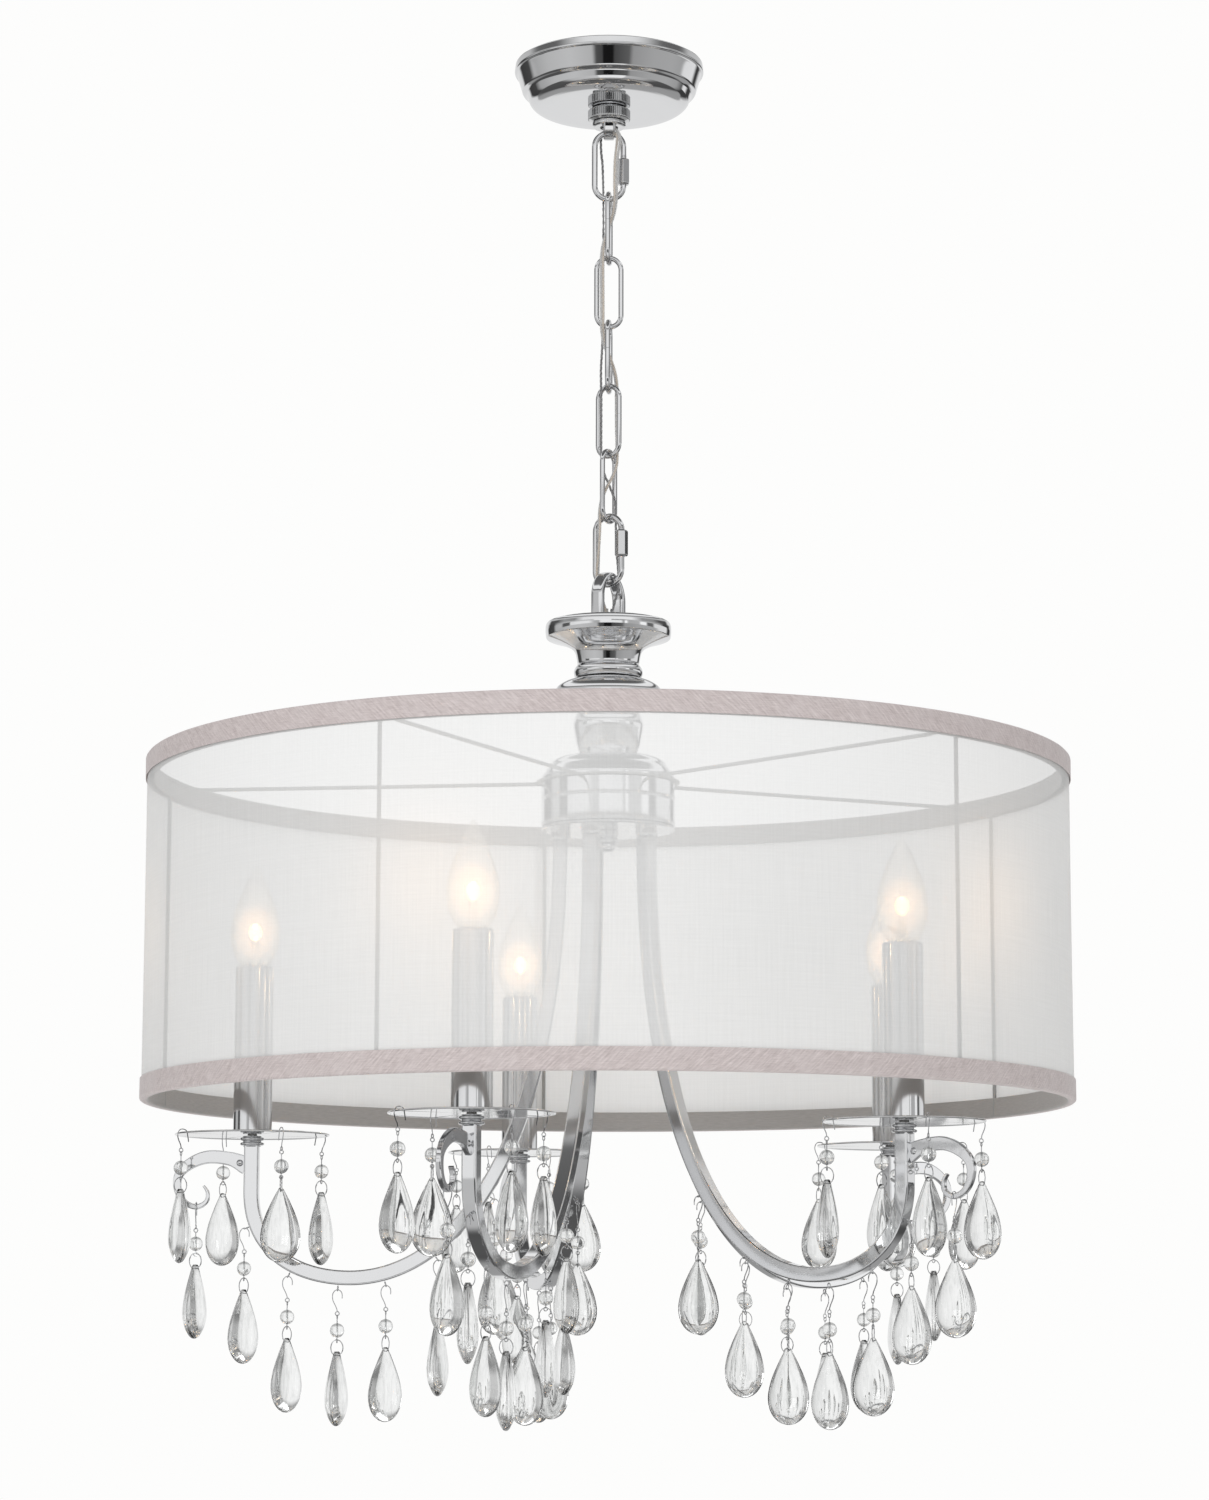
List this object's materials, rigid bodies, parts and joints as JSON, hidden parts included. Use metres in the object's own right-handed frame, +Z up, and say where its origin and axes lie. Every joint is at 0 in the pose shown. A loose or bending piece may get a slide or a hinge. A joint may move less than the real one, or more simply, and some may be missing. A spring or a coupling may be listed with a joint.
{
  "type": "drum chandelier",
  "caption": "Ceiling chandelier: a sheer fabric drum shade round a chromed column with curved arms, candle lamps and hanging crystal drops, on a chain under a round canopy.",
  "frame": {"origin": "on the ceiling plane, where the canopy's axis meets it; the object hangs below", "axes": "+Z up, along the chain and the column; -Y is the pictured front, +X its right"},
  "size_m": [0.6088, 0.6088, 0.9161],
  "materials": {
    "crossbar": "zinc plated",
    "crossbar_screw_1": "zinc plated",
    "crossbar_screw_2": "zinc plated",
    "canopy": "polished",
    "ceiling_loop": "polished",
    "collar_ring": "polished, knurled",
    "quick_link_upper": "polished",
    "quick_link_upper_sleeve": "polished",
    "chain_link_1": "polished",
    "chain_link_2": "polished",
    "chain_link_3": "polished",
    "chain_link_4": "polished",
    "chain_link_5": "polished",
    "quick_link_lower": "polished",
    "quick_link_lower_sleeve": "polished",
    "body_loop": "polished",
    "cap_disc": "polished",
    "bell": "polished",
    "urn": "polished",
    "hub_cap": "polished",
    "hub_body": "polished",
    "hub_base": "polished",
    "finial": "polished",
    "centre_pipe": "zinc plated",
    "arm_1": "polished",
    "arm_2": "polished",
    "arm_3": "polished",
    "arm_4": "polished",
    "arm_5": "polished",
    "pan_1": "polished",
    "pan_2": "polished",
    "pan_3": "polished",
    "pan_4": "polished",
    "pan_5": "polished",
    "candle_sleeve_1": "polished",
    "candle_sleeve_2": "polished",
    "candle_sleeve_3": "polished",
    "candle_sleeve_4": "polished",
    "candle_sleeve_5": "polished",
    "lamp_holder_1": "white moulded",
    "lamp_holder_2": "white moulded",
    "lamp_holder_3": "white moulded",
    "lamp_holder_4": "white moulded",
    "lamp_holder_5": "white moulded",
    "bulb_1": "clear, lit",
    "bulb_2": "clear, lit",
    "bulb_3": "clear, lit",
    "bulb_4": "clear, lit",
    "bulb_5": "clear, lit",
    "shade_fabric": "sheer woven",
    "trim_top": "slub silk",
    "trim_bottom": "slub silk",
    "shade_frame": "pale lacquer",
    "scroll_pendant_1": "cut and polished",
    "scroll_pendant_2": "cut and polished",
    "scroll_pendant_3": "cut and polished",
    "scroll_pendant_4": "cut and polished",
    "scroll_pendant_5": "cut and polished",
    "supply_flex": "clear jacket over silver strands",
    "ground_wire": "twisted strands in a clear jacket"
  },
  "bodies": {
    "ceiling": {"crossbar": "crossbar", "crossbar_screw_1": "crossbar_screw_1", "crossbar_screw_2": "crossbar_screw_2", "canopy": "canopy", "ceiling_loop": "ceiling_loop", "supply_flex": "supply_flex", "ground_wire": "ground_wire"},
    "collar": {"collar_ring": "collar_ring"},
    "link_upper": {"quick_link_upper": "quick_link_upper"},
    "link_upper_sleeve": {"quick_link_upper_sleeve": "quick_link_upper_sleeve"},
    "link_1": {"chain_link_1": "chain_link_1"},
    "link_2": {"chain_link_2": "chain_link_2"},
    "link_3": {"chain_link_3": "chain_link_3"},
    "link_4": {"chain_link_4": "chain_link_4"},
    "link_5": {"chain_link_5": "chain_link_5"},
    "link_lower": {"quick_link_lower": "quick_link_lower"},
    "link_lower_sleeve": {"quick_link_lower_sleeve": "quick_link_lower_sleeve"},
    "fixture": {"body_loop": "body_loop", "cap_disc": "cap_disc", "bell": "bell", "urn": "urn", "hub_cap": "hub_cap", "hub_body": "hub_body", "hub_base": "hub_base", "finial": "finial", "centre_pipe": "centre_pipe", "arm_1": "arm_1", "arm_2": "arm_2", "arm_3": "arm_3", "arm_4": "arm_4", "arm_5": "arm_5", "pan_1": "pan_1", "pan_2": "pan_2", "pan_3": "pan_3", "pan_4": "pan_4", "pan_5": "pan_5", "candle_sleeve_1": "candle_sleeve_1", "candle_sleeve_2": "candle_sleeve_2", "candle_sleeve_3": "candle_sleeve_3", "candle_sleeve_4": "candle_sleeve_4", "candle_sleeve_5": "candle_sleeve_5", "lamp_holder_1": "lamp_holder_1", "lamp_holder_2": "lamp_holder_2", "lamp_holder_3": "lamp_holder_3", "lamp_holder_4": "lamp_holder_4", "lamp_holder_5": "lamp_holder_5", "shade_fabric": "shade_fabric", "trim_top": "trim_top", "trim_bottom": "trim_bottom", "shade_frame": "shade_frame"},
    "lamp_1": {"bulb_1": "bulb_1"},
    "lamp_2": {"bulb_2": "bulb_2"},
    "lamp_3": {"bulb_3": "bulb_3"},
    "lamp_4": {"bulb_4": "bulb_4"},
    "lamp_5": {"bulb_5": "bulb_5"},
    "pendant_1": {"scroll_pendant_1": "scroll_pendant_1"},
    "pendant_2": {"scroll_pendant_2": "scroll_pendant_2"},
    "pendant_3": {"scroll_pendant_3": "scroll_pendant_3"},
    "pendant_4": {"scroll_pendant_4": "scroll_pendant_4"},
    "pendant_5": {"scroll_pendant_5": "scroll_pendant_5"}
  },
  "joints": [
    {"name": "collar_turn", "type": "hinge", "parent": "ceiling", "child": "collar", "pos_m": [0, 0, -0.0354], "axis": [0, 0, 1], "continuous": true},
    {"name": "link_upper_swing", "type": "hinge", "parent": "ceiling", "child": "link_upper", "pos_m": [0, 0, -0.05183], "axis": [0, 1, 0], "range_deg": [-6, 6], "deforming": ["supply_flex", "ground_wire"]},
    {"name": "link_1_swing", "type": "hinge", "parent": "link_upper", "child": "link_1", "pos_m": [0, 0, -0.09483], "axis": [0.9994, 0.0349, 0], "range_deg": [-20, 20], "deforming": ["supply_flex", "ground_wire"]},
    {"name": "link_2_swing", "type": "hinge", "parent": "link_1", "child": "link_2", "pos_m": [0, 0, -0.13938], "axis": [0.1045, 0.9945, 0], "range_deg": [-8, 8], "deforming": ["supply_flex", "ground_wire"]},
    {"name": "link_3_swing", "type": "hinge", "parent": "link_2", "child": "link_3", "pos_m": [0, 0, -0.18415], "axis": [0.9962, 0.0872, 0], "range_deg": [-8, 8], "deforming": ["supply_flex", "ground_wire"]},
    {"name": "link_4_swing", "type": "hinge", "parent": "link_3", "child": "link_4", "pos_m": [0, 0, -0.22892], "axis": [0.1045, 0.9945, 0], "range_deg": [-8, 8], "deforming": ["supply_flex", "ground_wire"]},
    {"name": "link_5_swing", "type": "hinge", "parent": "link_4", "child": "link_5", "pos_m": [0, 0, -0.27351], "axis": [-0.848, 0.5299, 0], "range_deg": [-8, 8], "deforming": ["supply_flex", "ground_wire"]},
    {"name": "link_lower_swing", "type": "hinge", "parent": "link_5", "child": "link_lower", "pos_m": [0, 0, -0.31838], "axis": [0.5, 0.866, 0], "range_deg": [-8, 8], "deforming": ["supply_flex", "ground_wire"]},
    {"name": "fixture_swing", "type": "hinge", "parent": "link_lower", "child": "fixture", "pos_m": [0, 0, -0.36091], "axis": [-0.8829, 0.4695, 0], "range_deg": [-12, 12], "deforming": ["supply_flex", "ground_wire"]},
    {"name": "upper_sleeve_slide", "type": "slide", "parent": "link_upper", "child": "link_upper_sleeve", "axis": [0, 0, 1], "range_m": [-0.0005, 0.006]},
    {"name": "lower_sleeve_slide", "type": "slide", "parent": "link_lower", "child": "link_lower_sleeve", "axis": [0, 0, 1], "range_m": [-0.006, 0.0005]},
    {"name": "bulb_1_turn", "type": "hinge", "parent": "fixture", "child": "lamp_1", "pos_m": [-0.08139, -0.21886, -0.6293], "axis": [0, 0, 1], "continuous": true},
    {"name": "bulb_2_turn", "type": "hinge", "parent": "fixture", "child": "lamp_2", "pos_m": [0.18299, -0.14504, -0.6293], "axis": [0, 0, 1], "continuous": true},
    {"name": "bulb_3_turn", "type": "hinge", "parent": "fixture", "child": "lamp_3", "pos_m": [0.19449, 0.12922, -0.6293], "axis": [0, 0, 1], "continuous": true},
    {"name": "bulb_4_turn", "type": "hinge", "parent": "fixture", "child": "lamp_4", "pos_m": [-0.06279, 0.2249, -0.6293], "axis": [0, 0, 1], "continuous": true},
    {"name": "bulb_5_turn", "type": "hinge", "parent": "fixture", "child": "lamp_5", "pos_m": [-0.2333, 0.00978, -0.6293], "axis": [0, 0, 1], "continuous": true},
    {"name": "scroll_pendant_1_swing", "type": "hinge", "parent": "fixture", "child": "pendant_1", "pos_m": [-0.09399, -0.25273, -0.77287], "axis": [0.9373, -0.3486, 0], "range_deg": [-25, 5]},
    {"name": "scroll_pendant_2_swing", "type": "hinge", "parent": "fixture", "child": "pendant_2", "pos_m": [0.21132, -0.16749, -0.77287], "axis": [0.6212, 0.7837, 0], "range_deg": [-25, 5]},
    {"name": "scroll_pendant_3_swing", "type": "hinge", "parent": "fixture", "child": "pendant_3", "pos_m": [0.22459, 0.14922, -0.77287], "axis": [-0.5534, 0.8329, 0], "range_deg": [-25, 5]},
    {"name": "scroll_pendant_4_swing", "type": "hinge", "parent": "fixture", "child": "pendant_4", "pos_m": [-0.07251, 0.25971, -0.77287], "axis": [-0.9632, -0.2689, 0], "range_deg": [-25, 5]},
    {"name": "scroll_pendant_5_swing", "type": "hinge", "parent": "fixture", "child": "pendant_5", "pos_m": [-0.2694, 0.01129, -0.77287], "axis": [-0.0419, -0.9991, 0], "range_deg": [-25, 5]}
  ]
}
